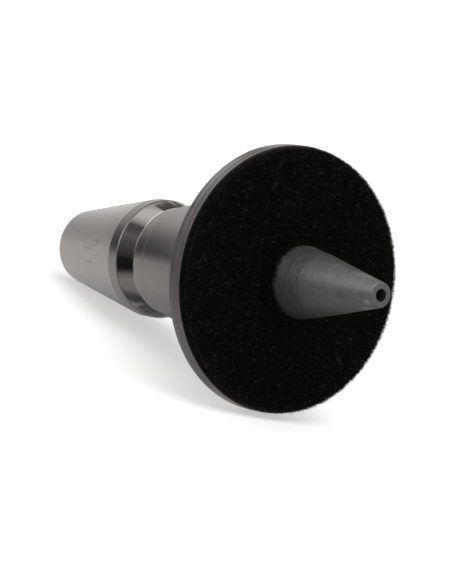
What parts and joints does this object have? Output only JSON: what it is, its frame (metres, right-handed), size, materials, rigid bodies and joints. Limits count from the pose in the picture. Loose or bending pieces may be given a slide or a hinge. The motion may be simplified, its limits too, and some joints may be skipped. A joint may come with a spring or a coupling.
{
  "type": "smt pick-up nozzle",
  "caption": "Turned pick-up nozzle for a surface-mount placement machine: taper shank with a clip groove, round reflector disc faced with black flock, and a conical bored tip.",
  "frame": {"origin": "centre of the flat rear end face of the shank, on which the nozzle stands", "axes": "+Z along the nozzle's axis from the shank's rear end towards the tip; the nozzle is a body of revolution, so +X and +Y are free"},
  "size_m": [0.02, 0.02, 0.0374],
  "materials": {
    "shank_steel": "fine turned and satin, with a polished groove flank",
    "disc_metal": "satin grey",
    "backing_sheet": "matte grey",
    "black_flock": "short velvet pile",
    "tip_steel": "matte dark grey, finely turned"
  },
  "bodies": {
    "root": {"shank": "shank_steel", "reflector_disc": "disc_metal", "flock_backing": "backing_sheet", "flock_pile": "black_flock", "tip": "tip_steel"}
  },
  "joints": []
}
